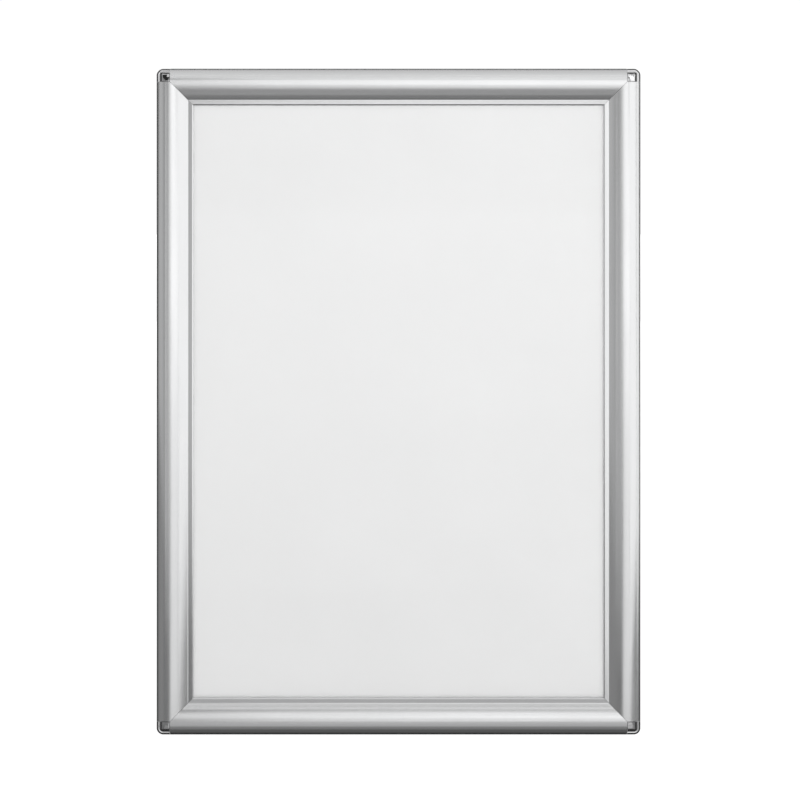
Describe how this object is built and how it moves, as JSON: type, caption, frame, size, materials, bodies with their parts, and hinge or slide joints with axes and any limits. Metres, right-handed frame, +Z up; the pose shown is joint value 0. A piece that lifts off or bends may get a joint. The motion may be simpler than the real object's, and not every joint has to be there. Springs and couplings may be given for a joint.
{
  "type": "sandwich board",
  "caption": "Free-standing folding A-frame board with two hinged snap-frame poster leaves, crowned aluminium rails, corner caps, slotted side stays and rubber feet.",
  "frame": {"origin": "on the floor, under the middle of the standing board", "axes": "+Z up, +X to the right across the board as seen from its front, +Y from the front leaf towards the rear leaf"},
  "size_m": [0.327, 0.212, 0.4437],
  "materials": {
    "aluminium": "satin silver anodised",
    "cap": "polished chrome plating",
    "poster": "blank white poster paper, matt",
    "cover": "clear anti-glare plastic",
    "back_panel": "grey polystyrene sheet",
    "zinc": "zinc-plated pressed steel",
    "fastener": "plain steel",
    "spring_steel": "blued spring steel",
    "rubber": "matt black"
  },
  "bodies": {
    "front_leaf": {"front_base_rail_top": "aluminium", "front_base_rail_bottom": "aluminium", "front_base_rail_left": "aluminium", "front_base_rail_right": "aluminium", "front_corner_cap_top_left": "cap", "front_corner_cap_top_right": "cap", "front_corner_cap_bottom_left": "cap", "front_corner_cap_bottom_right": "cap", "front_corner_keys": "zinc", "front_key_screws": "fastener", "front_snap_springs": "spring_steel", "front_back_panel": "back_panel", "front_poster": "poster", "front_cover_sheet": "cover", "hinge_front_plate_left": "zinc", "hinge_front_plate_right": "zinc", "hinge_pin_left": "fastener", "hinge_pin_right": "fastener", "hinge_front_rivets": "fastener", "stay_front_bracket_left": "zinc", "stay_front_bracket_right": "zinc", "stay_front_rivets": "fastener", "stay_pivot_rivets": "fastener", "front_foot_left": "rubber", "front_foot_right": "rubber"},
    "rear_leaf": {"rear_base_rail_top": "aluminium", "rear_base_rail_bottom": "aluminium", "rear_base_rail_left": "aluminium", "rear_base_rail_right": "aluminium", "rear_corner_cap_top_left": "cap", "rear_corner_cap_top_right": "cap", "rear_corner_cap_bottom_left": "cap", "rear_corner_cap_bottom_right": "cap", "rear_corner_keys": "zinc", "rear_key_screws": "fastener", "rear_snap_springs": "spring_steel", "rear_back_panel": "back_panel", "rear_poster": "poster", "rear_cover_sheet": "cover", "hinge_rear_plate_left": "zinc", "hinge_rear_plate_right": "zinc", "hinge_rear_rivets": "fastener", "stay_rear_bracket_left": "zinc", "stay_rear_bracket_right": "zinc", "stay_rear_rivets": "fastener", "stay_studs": "fastener", "rear_foot_left": "rubber", "rear_foot_right": "rubber"},
    "front_clamp_top": {"front_clamp_rail_top": "aluminium"},
    "front_clamp_bottom": {"front_clamp_rail_bottom": "aluminium"},
    "front_clamp_left": {"front_clamp_rail_left": "aluminium"},
    "front_clamp_right": {"front_clamp_rail_right": "aluminium"},
    "rear_clamp_top": {"rear_clamp_rail_top": "aluminium"},
    "rear_clamp_bottom": {"rear_clamp_rail_bottom": "aluminium"},
    "rear_clamp_left": {"rear_clamp_rail_left": "aluminium"},
    "rear_clamp_right": {"rear_clamp_rail_right": "aluminium"},
    "stay_left": {"stay_bar_left": "zinc"},
    "stay_right": {"stay_bar_right": "zinc"}
  },
  "joints": [
    {"name": "leaf_fold", "type": "hinge", "parent": "front_leaf", "child": "rear_leaf", "pos_m": [0, -0.0105, 0.43706], "axis": [-1, 0, 0], "range_deg": [0, 24]},
    {"name": "front_clamp_top_open", "type": "hinge", "parent": "front_leaf", "child": "front_clamp_top", "pos_m": [0, -0.01894, 0.44089], "axis": [-1, 0, 0], "range_deg": [0, 65]},
    {"name": "front_clamp_bottom_open", "type": "hinge", "parent": "front_leaf", "child": "front_clamp_bottom", "pos_m": [0, -0.10112, 0.00416], "axis": [1, 0, 0], "range_deg": [0, 65]},
    {"name": "front_clamp_left_open", "type": "hinge", "parent": "front_leaf", "child": "front_clamp_left", "pos_m": [-0.1607, -0.06003, 0.22252], "axis": [0, -0.1849, -0.9828], "range_deg": [0, 65]},
    {"name": "front_clamp_right_open", "type": "hinge", "parent": "front_leaf", "child": "front_clamp_right", "pos_m": [0.1607, -0.06003, 0.22252], "axis": [0, 0.1849, 0.9828], "range_deg": [0, 65]},
    {"name": "rear_clamp_top_open", "type": "hinge", "parent": "rear_leaf", "child": "rear_clamp_top", "pos_m": [0, -0.00119, 0.43681], "axis": [1, 0, 0], "range_deg": [0, 65]},
    {"name": "rear_clamp_bottom_open", "type": "hinge", "parent": "rear_leaf", "child": "rear_clamp_bottom", "pos_m": [0, 0.10137, 0.0044], "axis": [-1, 0, 0], "range_deg": [0, 65]},
    {"name": "rear_clamp_left_open", "type": "hinge", "parent": "rear_leaf", "child": "rear_clamp_left", "pos_m": [-0.1607, 0.05009, 0.2206], "axis": [0, -0.2308, 0.973], "range_deg": [0, 65]},
    {"name": "rear_clamp_right_open", "type": "hinge", "parent": "rear_leaf", "child": "rear_clamp_right", "pos_m": [0.1607, 0.05009, 0.2206], "axis": [0, 0.2308, -0.973], "range_deg": [0, 65]},
    {"name": "stay_left_swing", "type": "hinge", "parent": "front_leaf", "child": "stay_left", "pos_m": [-0.1347, -0.02437, 0.36336], "axis": [-1, 0, 0], "range_deg": [0, 44.53]},
    {"name": "stay_right_swing", "type": "hinge", "parent": "front_leaf", "child": "stay_right", "pos_m": [0.1347, -0.02437, 0.36336], "axis": [-1, 0, 0], "range_deg": [0, 44.53]}
  ],
  "couplings": [
    {"joint": "stay_left_swing", "follows": "leaf_fold", "ratio": 1.8552},
    {"joint": "stay_right_swing", "follows": "leaf_fold", "ratio": 1.8552}
  ]
}
